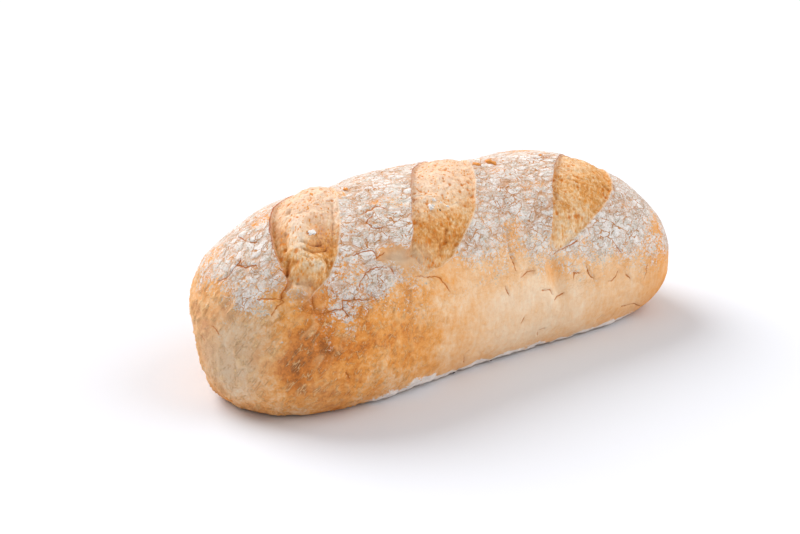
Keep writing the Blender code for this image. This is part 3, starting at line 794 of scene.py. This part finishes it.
    # painted shade and painted highlight on the lower skin's folds and flaky ridges, then the flour and
    # its lines
    colour = layered(colour, (
        (mark["dust"], 0.75, crust["dustColour"]), (shaded, 0.20, crust["foldShadeColour"]),
        (ridged, 0.62, crust["ridgeHighlightColour"]), (mark["flake"], 0.42, crust["ridgeHighlightColour"]),
        (cover, 0.92, flourColourAndShade), (flourLines, 0.88, crust["crackleColour"]),
        (crack, 0.95, crust["lineColour"])))
    crumbColour = layered(crumbColour, (
        (crestTint, 1.0, crust["crestColour"]), (gullyBrownAndShade, 1.0, crust["gullyBrownAndShadeColour"]),
        (mark["dust"], 0.7, crust["dustColour"]), (pores, 0.9, crust["poreColour"]),
        (mark["pore"], 0.9, crust["holeColour"])))
    colour = layered(colour, (
        (mark["crumb"], 1.0, crumbColour), (lipLine, 0.85, crust["lipColour"]),
        (rimLine, 0.6, crust["rimColour"]), (skirt, 0.94, crust["skirtColour"])))

    # relief too fine for the mesh, in millimetres
    relief = product({0: hill[2.2], 1: 0.14})
    for part, by, tall in ((hill[4.5], 1.0, 0.16), (hill[0.9], 1.0, 0.06), (ridged, 1.0, 0.30),
                           (shaded, 1.0, -0.06), (cover, hill[0.9], 0.10), (flourLines, 1.0, -0.16),
                           (fold["flourUnder"], mark["flour"], -0.14), (pores, mark["crumb"], -0.07),
                           (fibre, mark["crumb"], 0.30), (crack, 1.0, -0.14)):
        part = product({0: part, 1: by})
        relief = blend({0: part, 1: tall, 2: relief})
    bump = node("Bump", {"Strength": 1.0, "Distance": 0.001, "Height": relief})
    rough = blend({0: cover, 1: 0.3, 2: crust["roughness"]})
    shader = node("BsdfPrincipled", {"Base Color": colour, "Roughness": rough, "Normal": bump,
                                     "IOR": crust["ior"], "Specular IOR Level": crust["specular"]})
    node("OutputMaterial", {"Surface": shader})
    return material


flouredLoaf = buildLoaf()
flouredLoaf.data.materials.clear()
flouredLoaf.data.materials.append(crustMaterial())
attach(flouredLoaf, "root")
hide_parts("loaf")

# Loose bits on the crust: dry flour in clumps, crumbs charred black and flakes of crust
# toasted orange. Each has where it lies, its length, width and height, and its turn.
morsels = [
    {"name": "flourClumps", "material": "looseWheatFlour", "colour": "#e9e5e1", "rough": 0.95,
     "ragged": 0.9,
     "bits": [((-0.0994, -0.0266, 0.0888), (0.0028, 0.0042, 0.0008), 10),
              ((-0.0262, -0.0329, 0.0882), (0.0038, 0.0026, 0.0020), -10),
              ((-0.0240, -0.0318, 0.0890), (0.0018, 0.0014, 0.0014), 40),
              ((-0.0199, -0.0290, 0.0902), (0.0034, 0.0020, 0.0014), 15),
              ((-0.0158, -0.0343, 0.0871), (0.0016, 0.0012, 0.0011), 30),
              ((-0.0178, -0.0312, 0.0889), (0.0012, 0.0010, 0.0009), 0)]},
    {"name": "charredCrumbs", "material": "charredCrumb", "colour": "#3a2a24", "rough": 0.8,
     "ragged": 0.6,
     "bits": [((-0.0218, -0.0352, 0.0867), (0.0010, 0.0008, 0.0008), 0),
              ((-0.0255, -0.0500, 0.0022), (0.0022, 0.0012, 0.0012), 20),
              ((-0.0003, -0.0520, 0.0020), (0.0014, 0.0010, 0.0010), 60),
              ((0.0152, -0.0510, 0.0022), (0.0010, 0.0009, 0.0009), 0)]},
    {"name": "toastedFlakes", "material": "toastedCrustFlake", "colour": "#e3923c", "rough": 0.6,
     "ragged": 0.8,
     "bits": [((-0.0580, -0.0020, 0.0976), (0.0042, 0.0024, 0.0020), 15),
              ((0.0400, -0.0075, 0.0942), (0.0060, 0.0034, 0.0032), -20),
              ((0.0300, -0.0068, 0.0948), (0.0048, 0.0022, 0.0020), 10),
              ((0.0775, -0.0078, 0.0907), (0.0030, 0.0018, 0.0012), 30),
              ((-0.0797, -0.0012, 0.0968), (0.0026, 0.0014, 0.0010), 0),
              ((-0.1442, -0.0128, 0.0060), (0.0030, 0.0040, 0.0014), 0)]},
]


def addMorsels(kind):
    bm = bmesh.new()
    depsgraph = bpy.context.evaluated_depsgraph_get()
    for place, size, turn in kind["bits"]:
        _, spot, normal, _ = flouredLoaf.closest_point_on_mesh(place, depsgraph=depsgraph)
        stand = Matrix.Translation(spot) @ normal.to_track_quat("Z", "X").to_matrix().to_4x4()
        stand = stand @ Matrix.Rotation(np.radians(turn), 4, "Z") @ Matrix.Diagonal((*size, 1.0))
        made = bmesh.ops.create_icosphere(bm, subdivisions=3, radius=0.5)
        for vert in made["verts"]:
            lump = 1.0 + kind["ragged"] * noise.noise(vert.co * 3.5 + Vector(place) * 900)
            vert.co = stand @ (vert.co * lump)
    mesh = bpy.data.meshes.new(kind["name"])
    bm.to_mesh(mesh)
    bm.free()
    mesh.shade_smooth()
    mesh.materials.append(plainMaterial(kind["material"], kind["colour"], kind["rough"]))
    piece = newObject(kind["name"], mesh)
    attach(piece, "root")


for kind in morsels:
    addMorsels(kind)
print("loose bits laid on the crust")

# The studio: a pale floor, a broad soft light from behind the loaf, a weaker one from the
# front right and white surroundings
studio = {
    "floorSize": 6.0,
    "floorColour": "#e0e1e6", "floorRoughness": 0.9, "floorShine": 0.1,
    "surroundings": 0.53,
    "lights": [("keyLight", (-0.14, 0.92, 0.75), 3.2, 46.0),        # name, towards it, strength
               ("fillLight", (0.90, -0.80, 0.90), 1.40, 60.0)],     # and its breadth in degrees
    "lightsAway": 1.5,
    "cameraTurn": -40.613,      # degrees round from the front
    "cameraRise": 20.0,         # degrees above the floor
    "cameraAway": 0.9814,
    "lens": 81.0,               # in millimetres, before a sensor 36 mm wide
    "aimHeight": 0.045,
    "aimShift": (-0.0146, -0.0046),     # to the right and up in the picture
}


def addFloor():
    bm = bmesh.new()
    bmesh.ops.create_grid(bm, x_segments=1, y_segments=1, size=studio["floorSize"] / 2)
    mesh = bpy.data.meshes.new("studioFloor")
    bm.to_mesh(mesh)
    bm.free()
    mesh.materials.append(plainMaterial("mattWhitePaper", studio["floorColour"],
                                        studio["floorRoughness"], studio["floorShine"]))
    floor = newObject("studioFloor", mesh)


def addSoftLights():
    for name, towards, strength, breadth in studio["lights"]:
        lamp = bpy.data.lights.new(name, "SUN")
        lamp.energy = strength
        lamp.angle = np.radians(breadth)
        light = newObject(name, lamp)
        light.location = Vector(towards).normalized() * studio["lightsAway"]
        light.rotation_euler = Vector(towards).to_track_quat("Z", "Y").to_euler()


def addSurroundings():
    world = bpy.data.worlds.new("whiteStudio")
    world.use_nodes = True
    background = world.node_tree.nodes["Background"]
    background.inputs["Color"].default_value = (1.0, 1.0, 1.0, 1.0)
    background.inputs["Strength"].default_value = studio["surroundings"]
    bpy.context.scene.world = world


def addCamera():
    # the photograph's view
    turn = np.radians(studio["cameraTurn"])
    rise = np.radians(studio["cameraRise"])
    back = Vector((np.sin(turn) * np.cos(rise), -np.cos(turn) * np.cos(rise), np.sin(rise)))
    right = Vector((np.cos(turn), np.sin(turn), 0.0))
    up = back.cross(right)
    aside, upwards = studio["aimShift"]
    aim = Vector((0.0, 0.0, studio["aimHeight"])) + right * aside + up * upwards
    data = bpy.data.cameras.new("studioCamera")
    data.lens = studio["lens"]
    data.sensor_width = 36.0
    camera = newObject("studioCamera", data)
    turned = Matrix((right, up, back)).transposed().to_4x4()
    camera.matrix_world = Matrix.Translation(aim + back * studio["cameraAway"]) @ turned
    bpy.context.scene.camera = camera


addFloor()
addSoftLights()
addSurroundings()
addCamera()
bpy.context.scene.view_settings.view_transform = "Standard"
print("studio ready")
